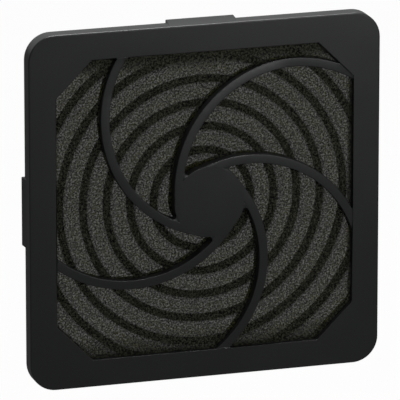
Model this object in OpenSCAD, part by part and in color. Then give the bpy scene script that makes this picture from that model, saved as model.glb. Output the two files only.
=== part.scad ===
// Filter guard for a 120 mm cabinet fan. A grille bolts to the fan, a thin foam pad lies on its
// rings, and a cover with five curved arms clips over both and holds the foam down.
// The pieces are modelled lying on their back, with z towards the viewer and the face that meets
// the fan at z = 0. Then the whole part is stood up, so that its front faces -Y.

/* [Fan] */
// Distance between the fan's screw holes, along each side
hole_spacing = 104.8; // [104.2:0.1:105.4]
// Diameter of the holes for the fan's screws
hole_d = 4.5; // [4.2:0.1:5]

/* [Grille] */
// Outer side of the square grille
grille_side = 119.5; // [118.5:0.5:121]
// Thickness of the grille's outer wall
grille_wall = 1.8; // [1.4:0.1:2.2]
// Width of the ledge round the grille, measured from its outer face
ledge_w = 4.75; // [4.2:0.05:5.4]
// Thickness of the ledge that carries the foam's edge
ledge_t = 1.5; // [1.2:0.1:2]
// How far the ledge lies below the rings
ledge_drop = 0.1; // [0.1:0.1:0.3]
// Width of the rib under the ledge's inner edge
ledge_rib_w = 1.2; // [1:0.1:1.6]
// How far the rings stand off the fan
ring_lift = 1.5; // [1:0.1:2]
// Depth of a ring from front to back
ring_t = 2.5; // [2.2:0.1:3]
// Width of a ring in front
ring_w = 2.7; // [2.2:0.1:3.2]
// Width of a ring at the back, after the taper by which it leaves its mould
ring_back_w = 1.6; // [1.2:0.1:2]
// Radius of the smallest ring
first_ring_r = 17.2; // [16.8:0.1:18]
// Distance from one ring to the next
ring_pitch = 8.3; // [7.6:0.1:9]
// Bevel along the front edges of a ring
ring_bevel = 0.4; // [0.3:0.1:0.6]
// Width of the grille's curved spokes
spoke_w = 2.2; // [2:0.1:3]
// How far a spoke lies in from the front and the back of the rings
spoke_inset = 0.2; // [0.1:0.1:0.4]
// How far a corner reaches in past the middle of its screw hole
corner_reach = 8; // [7.8:0.1:8.2]
// Thickness of the plastic under a screw's head
boss_t = 3; // [2.6:0.1:3.2]
// Radius of the recess for a screw's head
recess_r = 4.8; // [4.4:0.1:5]
// Thickness of the boss's wall round the recess
boss_wall = 1.2; // [1:0.1:1.2]
// Bevel on the rim of the grille's wall that leads the cover on
lead_in = 0.8; // [0.5:0.1:1]

/* [Foam] */
// Thickness of the foam as the cover squeezes it
foam_t = 1.95; // [1.6:0.05:2.4]
// Gap between the foam's edge and what is round it
foam_fit = 0.3; // [0.2:0.05:0.5]
// Gap between the foam and the cover's arms
foam_gap = 0.05; // [0.03:0.01:0.1]

/* [Cover] */
// Gap between the grille's wall and the cover's side wall
cover_gap = 0.35; // [0.3:0.05:0.45]
// Gap between the top of the grille's wall and the cover
rim_gap = 0.1; // [0.05:0.05:0.2]
// Thickness of the cover's side wall
skirt_wall = 1.9; // [1.6:0.1:2.2]
// Depth of the side wall from the cover's front
skirt_depth = 5.9; // [5.4:0.1:6.2]
// Thickness of the cover's flat front
front_t = 1.8; // [1.6:0.1:2.2]
// Radius of the cover's outer corners
corner_r = 9; // [7:0.5:11]
// Radius of the rounded edge round the front
edge_r = 0.5; // [0.4:0.1:1]
// Bevel in the corner between the side wall and the front, inside
gusset = 0.5; // [0.3:0.1:0.6]
// Width of the flat border round the opening
bezel_w = 9.5; // [8.5:0.25:10]
// How far the border covers the screws, in from the middle of a hole along the diagonal
screw_cover = 8.7; // [7.6:0.1:9.2]

/* [Arms] */
// Number of curved arms
arm_count = 5; // [3:1:7]
// Width of an arm
arm_w = 3.1; // [2.8:0.1:3.8]
// Radius of an arm's centre line
arm_r = 41.5; // [39:0.5:44]
// Direction in which the first arm's centre of curvature lies
arm_turn = 8.4; // [0:0.1:20]
// Radius of the disc that the arms run into
hub_r = 12.5; // [11.5:0.1:13.5]
// How far inside the disc's edge the outer side of an arm starts
arm_root = 0.35; // [0.2:0.05:0.5]
// How far the middle of the disc lies to the right of the middle of the border
swirl_right = 0.9; // [0:0.1:1]
// How far the middle of the disc lies above the middle of the border
swirl_up = 0.3; // [0:0.1:0.5]
// Height that the arms and the disc rise above the border in the middle
dome_rise = 1.8; // [1.2:0.1:2.4]
// Radius at which the rise has died away
dome_r = 51.5; // [50:0.5:51.5]
// How far the arms' outer ends lie below the front of the border
arm_sink = 0.1; // [0.05:0.05:0.2]
// How far the arms stand out behind the back of the border, to press on the foam
arm_press = 0.2; // [0.1:0.1:0.4]
// Thickness of the disc's front over its hollow back
hub_skin = 2; // [1.6:0.1:2.4]
// Thickness of the rims left round the disc's hollow back
hub_rim = 1.8; // [1.4:0.1:2.2]

/* [Snaps and tabs] */
// Length of a finger tab
tab_len = 24; // [20:1:28]
// Depth of a finger tab from the cover's front
tab_depth = 7.6; // [7:0.1:7.6]
// Distance from the cover's front to where a finger tab starts to flare
tab_start = 2; // [1.4:0.1:2.4]
// How far a finger tab flares out
tab_flare = 0.7; // [0.4:0.1:1]
// Thickness of a finger tab at its tip
tab_t = 1.4; // [1.2:0.1:1.6]
// Height of the straight edge at a finger tab's tip
tab_edge = 0.7; // [0.5:0.1:0.9]
// Length of a snap nose inside a finger tab
nose_len = 14; // [10:1:18]
// How far a nose stands in from the side wall
nose_h = 0.5; // [0.45:0.05:0.6]
// Depth of a nose along the pull direction
nose_t = 1.4; // [1.2:0.1:1.6]
// How far a nose sits above the back edge of the side wall
nose_up = 0.2; // [0.1:0.1:0.4]
// Gap between a nose and the ledge that it slides over
nose_gap = 0.05; // [0.04:0.01:0.08]
// Depth of the groove that a nose rests in, below the ledge
groove_deep = 0.4; // [0.3:0.05:0.5]
// Gap between a nose and the ends of its groove
groove_fit = 0.3; // [0.2:0.05:0.4]

/* [Hidden] */
$fn = 160;
BLACK = "#26292a";
FOAM = "#4a4b42";

// Heights above the fan
seat_z = ring_lift + ring_t;
ledge_z = seat_z - ledge_drop;
arm_back_z = seat_z + foam_t + foam_gap;
cover_back_z = arm_back_z + arm_press;
front_z = cover_back_z + front_t;
wall_top_z = cover_back_z - rim_gap;
skirt_back_z = front_z - skirt_depth;
tab_back_z = front_z - tab_depth;

// Outlines
cover_side = grille_side + 2 * (cover_gap + skirt_wall);
opening_side = cover_side - 2 * bezel_w;
grille_corner_r = corner_r - skirt_wall - cover_gap;
ledge_side = grille_side - 2 * ledge_w;
foam_side = grille_side - 2 * (grille_wall + foam_fit);
hole_dist = hole_spacing / sqrt(2);
opening_cut = hole_dist - screw_cover;
ledge_cut = hole_dist - corner_reach;
foam_cut = hole_dist - recess_r - boss_wall;

// Arms
swirl_middle = [swirl_right, swirl_up];
arm_centre = arm_r + arm_w / 2 - hub_r + arm_root;
arm_reach = min(sqrt(2) * opening_cut, arm_centre + arm_r - 1);
arm_sweep = 180 - acos((pow(arm_reach, 2) - pow(arm_centre, 2) - pow(arm_r, 2)) / (2 * arm_centre * arm_r));
bite = 0.5;
dome_ball_r = (pow(dome_r, 2) + pow(dome_rise, 2)) / (2 * dome_rise);
arm_step = 360 / arm_count;

// Snaps
skirt_in = grille_side / 2 + cover_gap;
nose_z = skirt_back_z + nose_up;
nose_tip = skirt_in - nose_h;
over = 1;
last_ring = floor((ledge_cut - ring_w / 2 - first_ring_r) / ring_pitch);

// A point turned round the middle
function turned(a, p) = [p[0] * cos(a) - p[1] * sin(a), p[0] * sin(a) + p[1] * cos(a)];

// The point on an arm, on the arc of radius r, after a sweep from the disc
function arm_point(k, sweep, r) =
  turned(arm_turn - k * arm_step, [arm_centre - r * cos(sweep), r * sin(sweep)]);

// Whether a point is outside a square with cut corners
function is_out(p, side, cut) =
  max(abs(p[0]), abs(p[1])) > side / 2 || abs(p[0]) + abs(p[1]) > sqrt(2) * cut;

// The sweep at which an arm's arc of radius r first leaves a square with cut corners
function first_out(k, r, side, cut, middle) =
  min(concat(
    [arm_sweep],
    [for (t = [60 : 0.5 : arm_sweep]) if (is_out(middle + arm_point(k, t, r), side, cut)) t]
  ));

// A square with rounded corners, centred
module rounded_square(side, r) {
  square([side, side - 2 * r], center = true);
  square([side - 2 * r, side], center = true);
  for (x = [-1, 1], y = [-1, 1])
    translate([x * (side / 2 - r), y * (side / 2 - r)]) circle(r);
}

// A square whose corners are cut off at 45 degrees, each cut at a distance from the middle
module cut_square(side, cut) {
  intersection() {
    square(side, center = true);
    rotate(45) square(2 * cut, center = true);
  }
}

// Runs a profile round a rounded square. In the profile, x = r lies on the square's outer face.
module run_round(side, r) {
  straight = side - 2 * r;
  for (k = [0 : 3])
    rotate(90 * k) {
      translate([side / 2 - r, straight / 2, 0]) rotate([90, 0, 0]) linear_extrude(straight) children();
      translate([side / 2 - r, side / 2 - r, 0]) rotate_extrude(angle = 90) children();
    }
}

// Four copies, one on the middle of each side
module on_each_side() {
  for (k = [0 : 3]) rotate(90 * k) children();
}

// Four copies, one at each screw
module at_each_screw() {
  for (x = [-1, 1], y = [-1, 1])
    translate([x * hole_spacing / 2, y * hole_spacing / 2, 0]) children();
}

// A bar that lies along the middle of the right-hand side, with its profile seen from below
module side_bar(len) {
  translate([0, len / 2, 0]) rotate([90, 0, 0]) linear_extrude(len) children();
}

// Outline of one curved arm, from inside the disc to a given sweep
module arm_outline(w, sweep) {
  reach = 2 * arm_r;
  intersection() {
    difference() {
      circle(arm_r + w / 2, $fn = 240);
      circle(arm_r - w / 2, $fn = 240);
    }
    polygon([
      [0, 0], [-reach, 0], turned(180 - sweep / 2, [reach / cos(sweep / 2), 0]),
      turned(180 - sweep, [reach, 0])
    ]);
  }
}

// Outline of the disc and its arms, round a middle. Each arm runs on until it has bitten into what
// lies outside a square with cut corners.
module swirl_outline(w, side, cut, middle) {
  intersection() {
    translate(middle) union() {
      circle(hub_r);
      for (k = [0 : arm_count - 1]) {
        inner_out = first_out(k, arm_r - w / 2, side + 2 * bite, cut + bite, middle);
        outer_out = first_out(k, arm_r + w / 2, side + 2 * bite, cut + bite, middle);
        sweep = min(arm_sweep, max(inner_out, outer_out) + 1);
        rotate(arm_turn - k * arm_step) translate([arm_centre, 0]) arm_outline(w, sweep);
      }
    }
    cut_square(side + 2 * bite, cut + bite);
  }
}

// Grille: the outer wall, with a lead-in bevel that guides the cover on
module guard_wall() {
  r = grille_corner_r;
  run_round(grille_side, r)
    polygon([
      [r - grille_wall, 0], [r, 0], [r, wall_top_z - lead_in],
      [r - lead_in, wall_top_z], [r - grille_wall, wall_top_z]
    ]);
}

// Grille: the ledge under the foam's edge and its wider corners, hollow behind, with a rib along
// the inner edge
module guard_ledge() {
  difference() {
    linear_extrude(ledge_z) difference() {
      rounded_square(grille_side - grille_wall, grille_corner_r - grille_wall / 2);
      cut_square(ledge_side, ledge_cut);
    }
    translate([0, 0, -over]) linear_extrude(ledge_z - ledge_t + over) difference() {
      rounded_square(grille_side - 2 * grille_wall, grille_corner_r - grille_wall);
      cut_square(ledge_side + 2 * ledge_rib_w, ledge_cut + ledge_rib_w);
    }
  }
}

// Grille: concentric rings, bevelled in front and tapered to the back
module guard_rings() {
  half_w = ring_w / 2;
  half_back_w = ring_back_w / 2;
  intersection() {
    for (k = [0 : last_ring])
      rotate_extrude() translate([first_ring_r + k * ring_pitch, 0])
        polygon([
          [-half_back_w, ring_lift], [half_back_w, ring_lift], [half_w, seat_z - ring_bevel],
          [half_w - ring_bevel, seat_z], [-half_w + ring_bevel, seat_z], [-half_w, seat_z - ring_bevel]
        ]);
    linear_extrude(front_z) cut_square(ledge_side + 2 * bite, ledge_cut + bite);
  }
}

// Grille: the centre disc and the curved spokes that join the rings
module guard_spokes() {
  translate([0, 0, ring_lift + spoke_inset]) linear_extrude(ring_t - 2 * spoke_inset)
    swirl_outline(spoke_w, ledge_side, ledge_cut, swirl_middle);
}

// Grille: the groove that a snap nose rests in, and the shallow way out over the ledge
module snap_groove() {
  slack = groove_fit;
  floor_x = nose_tip - nose_gap;
  side_bar(nose_len + 2 * slack)
    polygon([
      [floor_x - groove_deep, nose_z - slack], [grille_side / 2 + over, nose_z - slack],
      [grille_side / 2 + over, front_z], [floor_x, front_z],
      [floor_x, nose_z + nose_t + slack], [floor_x - groove_deep, nose_z + nose_t + slack]
    ]);
}

module filter_guard() {
  color(BLACK)
    difference() {
      union() {
        guard_wall();
        guard_ledge();
        guard_rings();
        guard_spokes();
        at_each_screw() cylinder(h = ledge_z - ledge_t / 2, r = recess_r + boss_wall);
      }
      at_each_screw() {
        translate([0, 0, -over]) cylinder(h = front_z, d = hole_d);
        translate([0, 0, boss_t]) cylinder(h = front_z, r = recess_r);
      }
      on_each_side() snap_groove();
    }
}

module filter_foam() {
  color(FOAM)
    translate([0, 0, seat_z]) linear_extrude(foam_t) cut_square(foam_side, foam_cut);
}

// Cover: the side wall and the rounded front edge, run round as one profile
module cover_rim() {
  r = corner_r;
  run_round(cover_side, r) {
    translate([r - edge_r, front_z - edge_r]) circle(edge_r);
    polygon([
      [r - skirt_wall, skirt_back_z], [r, skirt_back_z], [r, front_z - edge_r],
      [r - edge_r, front_z - edge_r], [r - edge_r, front_z], [r - skirt_wall - gusset, front_z],
      [r - skirt_wall - gusset, cover_back_z], [r - skirt_wall, cover_back_z - gusset]
    ]);
  }
}

// Cover: the flat border round the opening
module cover_bezel() {
  translate([0, 0, cover_back_z]) linear_extrude(front_t) difference() {
    rounded_square(cover_side - 2 * edge_r, corner_r - edge_r);
    cut_square(opening_side, opening_cut);
  }
}

// Cover: the arms and the disc, flat behind and domed in front
module cover_swirl() {
  intersection() {
    translate([0, 0, arm_back_z]) linear_extrude(front_z + dome_rise)
      swirl_outline(arm_w, opening_side, opening_cut, swirl_middle);
    union() {
      linear_extrude(front_z - arm_sink) square(cover_side, center = true);
      translate([swirl_right, swirl_up, front_z + dome_rise - dome_ball_r]) rotate([0, 90, 0])
        sphere(dome_ball_r, $fn = 256);
    }
  }
}

// Cover: the hollow behind the disc, with a ring left standing that bears on the foam
module hub_hollow() {
  out_r = hub_r - hub_rim;
  ring_r = out_r / 2;
  depth = front_z + dome_rise - hub_skin - arm_back_z;
  translate([swirl_right, swirl_up, arm_back_z - over]) difference() {
    cylinder(h = depth + over, r = out_r);
    difference() {
      cylinder(h = depth + 2 * over, r = ring_r);
      translate([0, 0, -over]) cylinder(h = depth + 4 * over, r = ring_r - hub_rim);
    }
  }
}

// Cover: a finger tab that flares out and back from the side wall, with the snap nose inside it
module cover_tab() {
  out = cover_side / 2;
  tip_z = tab_back_z + tab_edge;
  side_bar(tab_len)
    polygon([
      [out - skirt_wall / 2, front_z - tab_start], [out, front_z - tab_start],
      [out + tab_flare, tip_z], [out + tab_flare, tab_back_z],
      [out + tab_flare - tab_t, tab_back_z], [skirt_in, skirt_back_z],
      [out - skirt_wall / 2, skirt_back_z + nose_t]
    ]);
  side_bar(nose_len)
    polygon([
      [skirt_in + skirt_wall / 2, nose_z], [skirt_in, nose_z], [nose_tip, nose_z + nose_t / 3],
      [nose_tip, nose_z + nose_t * 2 / 3], [skirt_in, nose_z + nose_t],
      [skirt_in + skirt_wall / 2, nose_z + nose_t]
    ]);
}

module snap_cover() {
  color(BLACK)
    difference() {
      union() {
        cover_rim();
        cover_bezel();
        cover_swirl();
        on_each_side() cover_tab();
      }
      hub_hollow();
    }
}

module stand_up() {
  rotate([90, 0, 0]) children();
}

stand_up() filter_guard();
stand_up() filter_foam();
stand_up() snap_cover();
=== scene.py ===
import bpy, math
from mathutils import Matrix, Vector


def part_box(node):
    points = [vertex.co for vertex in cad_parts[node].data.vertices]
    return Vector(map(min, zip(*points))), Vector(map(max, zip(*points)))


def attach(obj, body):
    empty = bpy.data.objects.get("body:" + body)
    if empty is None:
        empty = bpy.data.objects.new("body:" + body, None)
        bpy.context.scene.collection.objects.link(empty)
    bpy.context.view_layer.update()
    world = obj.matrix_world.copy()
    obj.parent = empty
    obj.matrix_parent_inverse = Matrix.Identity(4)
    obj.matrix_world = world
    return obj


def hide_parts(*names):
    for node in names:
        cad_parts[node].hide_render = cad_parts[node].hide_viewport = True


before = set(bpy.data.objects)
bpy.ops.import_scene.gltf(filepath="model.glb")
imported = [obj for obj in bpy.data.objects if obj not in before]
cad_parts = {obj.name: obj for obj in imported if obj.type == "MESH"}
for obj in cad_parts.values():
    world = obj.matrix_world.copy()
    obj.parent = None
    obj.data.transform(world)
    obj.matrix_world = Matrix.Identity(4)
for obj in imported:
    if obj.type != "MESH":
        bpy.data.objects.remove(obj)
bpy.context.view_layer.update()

# The studio: a white room with no corners, a floor well below the guard, and the camera to the
# left of the guard and above it, far off with a long lens. The guard hangs as it is bolted to its
# fan, so nothing of it stands on the floor.
FLOOR_DROP, FLOOR_SIZE = 0.35, 12
CAMERA_AZIMUTH, CAMERA_ELEVATION = math.radians(17.33), math.radians(15.75)
CAMERA_DISTANCE = 2.042
LENS_PER_SENSOR = 6017.4 / 400
AIM_RIGHT, AIM_UP, AIM_DEPTH = -0.00078, -0.00045, -0.004
# The camera sees room and floor white. What lights the guard, and shows in its gloss, is dimmer.
ROOM_LOW, ROOM_ABOVE, ROOM_BACK = 0.11, 0.25, 0.36
FLOOR_IN_GLOSS, FLOOR_GLOSS_LOSS_AT_BACK = 0.18, 0.08
FLOOR_GLOW_SHARE = 0.97


class Shade:
    """A shader socket. Arithmetic on it adds Math nodes, and node() adds any other node."""

    def __init__(self, tree, socket=None):
        self.tree, self.socket = tree, socket

    def node(self, kind, settings=None, sockets=None, out=0):
        new = self.tree.nodes.new(kind)
        for name, value in (settings or {}).items():
            setattr(new, name, value)
        for name, value in (sockets or {}).items():
            if isinstance(value, Shade):
                self.tree.links.new(value.socket, new.inputs[name])
            else:
                new.inputs[name].default_value = value
        return Shade(self.tree, new.outputs[out] if new.outputs else None)

    def maths(self, operation, *terms):
        return self.node("ShaderNodeMath", {"operation": operation}, dict(enumerate(terms)))

    def __add__(self, other): return self.maths("ADD", self, other)
    def __radd__(self, other): return self.maths("ADD", other, self)
    def __sub__(self, other): return self.maths("SUBTRACT", self, other)
    def __rsub__(self, other): return self.maths("SUBTRACT", other, self)
    def __mul__(self, other): return self.maths("MULTIPLY", self, other)
    def __rmul__(self, other): return self.maths("MULTIPLY", other, self)
    def __truediv__(self, other): return self.maths("DIVIDE", self, other)
    def __pow__(self, other): return self.maths("POWER", self, other)
    def __abs__(self): return self.maths("ABSOLUTE", self)

    def step(self, low, high):
        """0 below low, 1 above high, and smooth between."""
        return self.node("ShaderNodeMapRange", {"interpolation_type": "SMOOTHSTEP"},
                         {"Value": self, "From Min": low, "From Max": high})

    def along(self, axis):
        """One axis of a vector."""
        return self.node("ShaderNodeSeparateXYZ", sockets={"Vector": self}, out=axis)


world = bpy.data.worlds.new("studio")
bpy.context.scene.world = world
world.use_nodes = True
world.node_tree.nodes.clear()
air = Shade(world.node_tree)
way = air.node("ShaderNodeTexCoord", out="Generated")
height, depth = way.along("Z"), way.along("Y")
seen = air.node("ShaderNodeLightPath", out="Is Camera Ray")
through = air.node("ShaderNodeLightPath", out="Is Transmission Ray")
brightness = (ROOM_LOW + ROOM_ABOVE * height.step(0.1, 0.9)
              + ROOM_BACK * depth.step(0.35, 0.85) * height.step(0.0, 0.15))
room = air.node("ShaderNodeBackground", sockets={"Color": (1, 1, 1, 1), "Strength": brightness})
white = air.node("ShaderNodeBackground", sockets={"Color": (1, 1, 1, 1), "Strength": 1.0})
air.node("ShaderNodeOutputWorld", sockets={"Surface": air.node(
    "ShaderNodeMixShader", sockets={0: seen.maths("MAXIMUM", seen, through), 1: room, 2: white})})

bpy.ops.mesh.primitive_plane_add(size=FLOOR_SIZE, location=(0, 0, -FLOOR_DROP))
floor = bpy.context.object
floor.name = "floor"
paper = bpy.data.materials.new("floor_paper")
paper.use_nodes = True
paper.node_tree.nodes.clear()
sheet = Shade(paper.node_tree)
seen = sheet.node("ShaderNodeLightPath", out="Is Camera Ray")
mirrored = sheet.node("ShaderNodeLightPath", out="Is Glossy Ray")
lit = sheet.node("ShaderNodeBsdfDiffuse", sockets={"Color": (0.5, 0.5, 0.5, 1)})
behind = sheet.node("ShaderNodeTexCoord", out="Object").along("Y").step(-0.3, 0.3)
glow = sheet.node("ShaderNodeEmission", sockets={
    "Color": (1, 1, 1, 1),
    "Strength": seen + (FLOOR_IN_GLOSS - FLOOR_GLOSS_LOSS_AT_BACK * behind) * mirrored})
sheet.node("ShaderNodeOutputMaterial", sockets={"Surface": sheet.node("ShaderNodeMixShader", sockets={
    0: FLOOR_GLOW_SHARE * seen.maths("MAXIMUM", seen, mirrored), 1: lit, 2: glow})})
floor.data.materials.append(paper)

look = Vector((math.sin(CAMERA_AZIMUTH) * math.cos(CAMERA_ELEVATION),
               math.cos(CAMERA_AZIMUTH) * math.cos(CAMERA_ELEVATION), -math.sin(CAMERA_ELEVATION)))
right = look.cross(Vector((0, 0, 1))).normalized()
aim = Vector((0, AIM_DEPTH, 0)) + AIM_RIGHT * right + AIM_UP * right.cross(look)
bpy.ops.object.camera_add(location=aim - CAMERA_DISTANCE * look,
                          rotation=look.to_track_quat("-Z", "Y").to_euler())
camera = bpy.context.object
camera.data.lens = camera.data.sensor_width * LENS_PER_SENSOR
bpy.context.scene.camera = camera

for name, place, target, size, spread, power in (
    ("softbox_top", (0.2, 0.12, 1.3), (0, 0, 0), 0.6, 180, 20),
    ("softbox_front", (0.24, -0.62, 0.13), (0.08, 0, 0.12), 0.2, 50, 0.083),
):
    beam = Vector(target) - Vector(place)
    bpy.ops.object.light_add(type="AREA", location=place, rotation=beam.to_track_quat("-Z", "Y").to_euler())
    lamp = bpy.context.object
    lamp.name, lamp.data.size, lamp.data.energy = name, size, power
    lamp.data.spread = math.radians(spread)
    lamp.visible_camera = False
bpy.context.scene.view_settings.view_transform = "Standard"

# The base grille: rings and spokes in a flat frame, moulded in one in black plastic. It bolts to
# the fan by its four corners, and most of it is seen only as dark bands through the foam.
GUARD_BLACK = (0.0130, 0.0142, 0.0145, 1)
GUARD_EDGE = 0.0002
MERGE_WITHIN, FLAT_WITHIN, SHARP_FROM = 0.0001, math.radians(0.5), math.radians(40)
FLOW_SCALE, FLOW_TINT, FLOW_GLOSS, GRAIN_GLOSS = 45, 0.06, 0.10, 0.08


def deselect():
    for each in bpy.context.selected_objects:
        each.select_set(False)


def moulded_plastic(name, colour, roughness, grain_size, grain_depth):
    """Black moulded plastic: faint flow marks in its gloss, and the fine grain of its mould."""
    material = bpy.data.materials.new(name)
    material.use_nodes = True
    material.node_tree.nodes.clear()
    skin = Shade(material.node_tree)
    place = skin.node("ShaderNodeTexCoord", out="Object")
    flow = skin.node("ShaderNodeTexNoise", sockets={
        "Vector": place, "Scale": FLOW_SCALE, "Detail": 3}, out="Fac")
    grain = skin.node("ShaderNodeTexNoise", sockets={
        "Vector": place, "Scale": 1 / grain_size, "Detail": 2}, out="Fac")
    shade = skin.node("ShaderNodeMix", {"data_type": "RGBA"}, {
        0: flow.step(0.35, 0.7),
        6: [(1 - FLOW_TINT) * c for c in colour[:3]] + [1],
        7: [(1 + FLOW_TINT) * c for c in colour[:3]] + [1]}, out=2)
    relief = skin.node("ShaderNodeBump", sockets={
        "Height": grain, "Strength": 0.35, "Distance": grain_depth})
    body = skin.node("ShaderNodeBsdfPrincipled", sockets={
        "Base Color": shade, "Roughness": roughness + FLOW_GLOSS * (flow - 0.5) + GRAIN_GLOSS * (grain - 0.5),
        "Normal": relief, "Specular IOR Level": 0.5})
    skin.node("ShaderNodeOutputMaterial", sockets={"Surface": body})
    return material


def round_edges(piece, edge):
    """A bevel for the sharp edges of the piece, still to be applied."""
    rounded = piece.modifiers.new("rounded_edges", "BEVEL")
    rounded.width, rounded.segments = edge, 2
    rounded.limit_method, rounded.angle_limit = "ANGLE", SHARP_FROM
    return rounded


def moulding(node, name, body, edge, finish):
    """The node's shape as it leaves its mould: joined up, its edges rounded off, and evenly shaded."""
    deselect()
    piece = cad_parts[node].copy()
    piece.data, piece.name = piece.data.copy(), name
    bpy.context.collection.objects.link(piece)
    bpy.context.view_layer.objects.active = piece
    piece.select_set(True)
    bpy.ops.object.mode_set(mode="EDIT")
    bpy.ops.mesh.select_all(action="SELECT")
    bpy.ops.mesh.remove_doubles(threshold=MERGE_WITHIN)
    bpy.ops.mesh.dissolve_limited(angle_limit=FLAT_WITHIN, delimit={"NORMAL"})
    bpy.ops.mesh.quads_convert_to_tris(quad_method="BEAUTY", ngon_method="BEAUTY")
    bpy.ops.object.mode_set(mode="OBJECT")
    rounded = round_edges(piece, edge)
    rounded.use_clamp_overlap = False
    bpy.ops.object.modifier_apply(modifier=rounded.name)
    bpy.ops.object.shade_smooth_by_angle(angle=SHARP_FROM)
    even = piece.modifiers.new("even_shading", "WEIGHTED_NORMAL")
    even.weight, even.keep_sharp = 100, True
    bpy.ops.object.modifier_apply(modifier=even.name)
    piece.data.materials.clear()
    piece.data.materials.append(finish)
    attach(piece, body)
    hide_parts(node)
    return piece


moulding("filter_guard", "grille", "base", GUARD_EDGE,
         moulded_plastic("grille_skin", GUARD_BLACK, 0.5, 0.0004, 0.00004))

# The foam pad: a thin sheet of open-cell foam, die-cut square with its corners off. The rings
# behind press into it and block the light coming through; its back face is closed up further over
# them, which is painted shade of the rings, and between them its strands are painted a yellower tint
# of that light. The cover's border pinches it all round, which closes up its rim; that closing also
# stands as painted shade along the edge of the opening, and the strips under the top and bottom
# border are closed up further as painted shade.
foam_low, foam_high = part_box("filter_foam")
foam_side, foam_deep = foam_high[0] - foam_low[0], foam_high[1] - foam_low[1]
foam_middle = (foam_low[1] + foam_high[1]) / 2
FOAM_CORNER = 0.0681
FOAM_GRID, FOAM_RELIEF, RELIEF_CELL = 200, 0.0001, 0.0016
RING_FIRST, RING_PITCH, RING_WOBBLE = 0.0172, 0.0083, 0.0007
OPENING_HALF, OPENING_CUT = 0.0525, 0.0654
FOAM_DARK, FOAM_STRANDS = (0.0062, 0.0066, 0.0054, 1), (0.068, 0.0705, 0.049, 1)
# The next colour is painted light: the yellower tint of light that comes through the foam between the rings.
FOAM_PAINTED_BACKLIGHT = (0.068, 0.0705, 0.024, 1)
# The last of these closes the back face over the rings: painted shade of the rings.
SEEN_THROUGH_WALL, SEEN_THROUGH_PORE, LOST_OVER_RINGS = 0.07, 0.22, 0.75
# The rim closing is partly the border's pinch and partly painted shade along the edge of the opening.
OPEN_AT_RIM, RIM_WIDTH = 0.25, 0.0011
# These two fades aren't the pad's own: they stand for shade beside the border in the photograph.
OPEN_AT_TOP, TOP_FADE = 0.1, (0.001, 0.0075)
OPEN_AT_BOTTOM, BOTTOM_FADE = 0.58, (0.001, 0.0085)

deselect()
bpy.ops.mesh.primitive_grid_add(
    x_subdivisions=FOAM_GRID, y_subdivisions=FOAM_GRID, size=foam_side,
    location=(0, foam_high[1] - FOAM_RELIEF / 2, 0), rotation=(math.pi / 2, 0, 0))
foam = bpy.context.object
foam.name = "foam_pad"
bpy.ops.object.transform_apply(location=True, rotation=True, scale=True)
bpy.ops.object.mode_set(mode="EDIT")
reach = FOAM_CORNER / math.sqrt(2)
for x, z in ((1, 1), (1, -1), (-1, 1), (-1, -1)):
    bpy.ops.mesh.select_all(action="SELECT")
    bpy.ops.mesh.bisect(plane_co=(x * reach, foam_high[1], z * reach), plane_no=(x, 0, z), clear_outer=True)
bpy.ops.object.mode_set(mode="OBJECT")
thicken = foam.modifiers.new("thickness", "SOLIDIFY")
thicken.thickness, thicken.offset = foam_deep - FOAM_RELIEF, -1 if foam.data.polygons[0].normal.y > 0 else 1
bpy.ops.object.modifier_apply(modifier=thicken.name)
cells = bpy.data.textures.new("foam_cells", "CLOUDS")
cells.noise_scale = RELIEF_CELL
rough = foam.modifiers.new("roughness", "DISPLACE")
rough.texture, rough.texture_coords, rough.strength, rough.mid_level = cells, "LOCAL", FOAM_RELIEF, 0.5
bpy.ops.object.modifier_apply(modifier=rough.name)
bpy.ops.object.shade_smooth()

foam_look = bpy.data.materials.new("open_cell_foam")
foam_look.use_nodes = True
foam_look.node_tree.nodes.clear()
foam_skin = Shade(foam_look.node_tree)
place = foam_skin.node("ShaderNodeTexCoord", out="Object")
apart, inward, across = place.along("X"), place.along("Y"), place.along("Z")
radius = (apart * apart + across * across) ** 0.5
wobble = foam_skin.node("ShaderNodeTexNoise", sockets={"Vector": place, "Scale": 260, "Detail": 2}, out="Fac")
turn = (radius - RING_FIRST + RING_WOBBLE * (wobble - 0.5)) / RING_PITCH
off_ring = abs(turn.maths("FRACT", turn + 0.5) - 0.5)
between_rings = off_ring.step(0.08, 0.26)
cell = foam_skin.node("ShaderNodeTexNoise", sockets={
    "Vector": place, "Scale": 1500, "Detail": 2, "Roughness": 0.6}, out="Fac")
pore = foam_skin.node("ShaderNodeTexNoise", sockets={"Vector": place, "Scale": 1700, "Detail": 1}, out="Fac")
on_back = inward.step(foam_middle - 0.0001, foam_middle + 0.0001)
wide, tall = abs(apart), abs(across)
from_side = OPENING_HALF - wide.maths("MAXIMUM", wide, tall)
from_cut = OPENING_CUT - math.sqrt(0.5) * (wide + tall)
from_rim = from_side.maths("MINIMUM", from_side, from_cut)
# How much the pad lets through: pinched shut at the rim by the border, which also paints the thin shade along
# the opening's edge, and closed further under the top border and over the bottom one as painted shade.
pinched_and_painted_shade = ((OPEN_AT_RIM + (1 - OPEN_AT_RIM) * from_rim.step(0, RIM_WIDTH))
           * (OPEN_AT_TOP + (1 - OPEN_AT_TOP) * (OPENING_HALF - across).step(*TOP_FADE))
           * (OPEN_AT_BOTTOM + (1 - OPEN_AT_BOTTOM) * (OPENING_HALF + across).step(*BOTTOM_FADE)))
# Over the rings the back face lets through less: the rings press in there, and this closing is painted shade
# of the rings.
see_through = ((SEEN_THROUGH_WALL + SEEN_THROUGH_PORE * pore.step(0.40, 0.60)) * pinched_and_painted_shade
               * (1 - LOST_OVER_RINGS * on_back * (1 - between_rings)))
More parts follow.
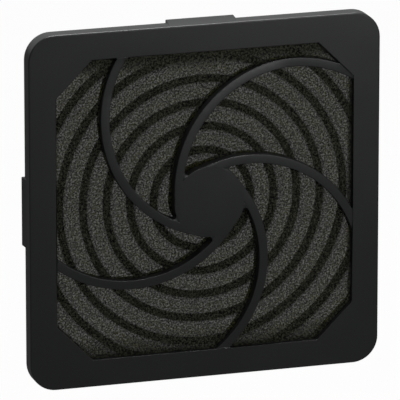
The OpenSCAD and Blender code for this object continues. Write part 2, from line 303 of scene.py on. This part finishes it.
# Between the rings the strands are painted the yellower tint of light coming through, fading out where the
# pad is closed at its rim and in the painted shade by the top and bottom border.
strands_with_painted_backlight = foam_skin.node("ShaderNodeMix", {"data_type": "RGBA"}, {
    0: off_ring.step(0.24, 0.40) * pinched_and_painted_shade.step(0.3, 0.9), 6: FOAM_STRANDS, 7: FOAM_PAINTED_BACKLIGHT}, out=2)
hue = foam_skin.node("ShaderNodeMix", {"data_type": "RGBA"}, {
    0: cell.step(0.38, 0.68), 6: FOAM_DARK, 7: strands_with_painted_backlight}, out=2)
bumps = foam_skin.node("ShaderNodeBump", sockets={"Height": cell, "Strength": 0.6, "Distance": 0.0002})
body = foam_skin.node("ShaderNodeBsdfPrincipled", sockets={
    "Base Color": hue, "Roughness": 0.9, "Alpha": 1 - see_through, "Normal": bumps,
    "Specular IOR Level": 0.1})
foam_skin.node("ShaderNodeOutputMaterial", sockets={"Surface": body})
foam.data.materials.clear()
foam.data.materials.append(foam_look)
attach(foam, "foam")
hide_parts("filter_foam")

# The cover: border, side walls, finger tabs and the five domed arms with their disc, moulded in
# one in black plastic with a fine satin skin. It snaps over the grille and holds the foam down.
COVER_BLACK = (0.0128, 0.0142, 0.0140, 1)
COVER_EDGE = 0.0003
cover = moulding("snap_cover", "retainer_cover", "cover", COVER_EDGE,
                 moulded_plastic("cover_skin", COVER_BLACK, 0.34, 0.0003, 0.00002))

# The fillets in the five corners between the disc and the arms, part of the same moulding: each
# slot between them has a round end, as the cutter that made the mould left it.
SWIRL_X, SWIRL_Z, FIRST_ARM, ARM_COUNT = 0.0009, 0.0003, math.radians(8.4), 5
DISC_R, ARM_CENTRE, ARM_INNER_R, FILLET_R = 0.0125, 0.0309, 0.03995, 0.00095
FILLET_FRONT, FILLET_BACK, FILLET_EDGE = -0.00961, -0.0061, 0.0002
# Each fillet starts as a prism with two corners sunk in the disc and one in the arm.
PRISM_CORNERS = ((-0.0082, 0.0093), (-0.00562, 0.01074), (-0.00757, 0.01234))

deselect()
to_disc, to_arm = DISC_R + FILLET_R, ARM_INNER_R - FILLET_R
slot_x = (to_disc ** 2 - to_arm ** 2 + ARM_CENTRE ** 2) / (2 * ARM_CENTRE)
slot_end = Vector((slot_x, (FILLET_FRONT + FILLET_BACK) / 2, math.sqrt(to_disc ** 2 - slot_x ** 2)))
thick = FILLET_BACK - FILLET_FRONT
bpy.ops.mesh.primitive_cylinder_add(vertices=32, radius=FILLET_R, depth=2 * thick,
                                    location=slot_end, rotation=(math.pi / 2, 0, 0))
cutter = bpy.context.object
bpy.ops.mesh.primitive_cylinder_add(vertices=3, radius=0.001, depth=thick,
                                    location=slot_end, rotation=(math.pi / 2, 0, 0))
web = bpy.context.object
bpy.ops.object.transform_apply(location=True, rotation=True, scale=True)


def round_the_slot(corner):
    return math.atan2(corner[1] - slot_end.z, corner[0] - slot_end.x)


starts = sorted({(round(v.co.x, 6), round(v.co.z, 6)) for v in web.data.vertices}, key=round_the_slot)
ends = sorted(PRISM_CORNERS, key=round_the_slot)
for v in web.data.vertices:
    v.co.x, v.co.z = ends[starts.index((round(v.co.x, 6), round(v.co.z, 6)))]
hollowed = web.modifiers.new("round_end", "BOOLEAN")
hollowed.operation, hollowed.object = "DIFFERENCE", cutter
bpy.context.view_layer.objects.active = web
bpy.ops.object.modifier_apply(modifier=hollowed.name)
bpy.data.objects.remove(cutter)
rounded = round_edges(web, FILLET_EDGE)
bpy.ops.object.modifier_apply(modifier=rounded.name)
bpy.ops.object.shade_smooth_by_angle(angle=SHARP_FROM)
webs = [web]
for _ in range(ARM_COUNT - 1):
    webs.append(web.copy())
    webs[-1].data = web.data.copy()
    bpy.context.collection.objects.link(webs[-1])
for arm, piece in enumerate(webs):
    piece.data.transform(Matrix.Translation((SWIRL_X, 0, SWIRL_Z))
                         @ Matrix.Rotation(2 * math.pi * arm / ARM_COUNT - FIRST_ARM, 4, "Y"))
    piece.select_set(True)
bpy.context.view_layer.objects.active = web
bpy.ops.object.join()
web.name = "arm_fillets"
web.data.materials.clear()
web.data.materials.append(cover.data.materials[0])
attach(web, "cover")
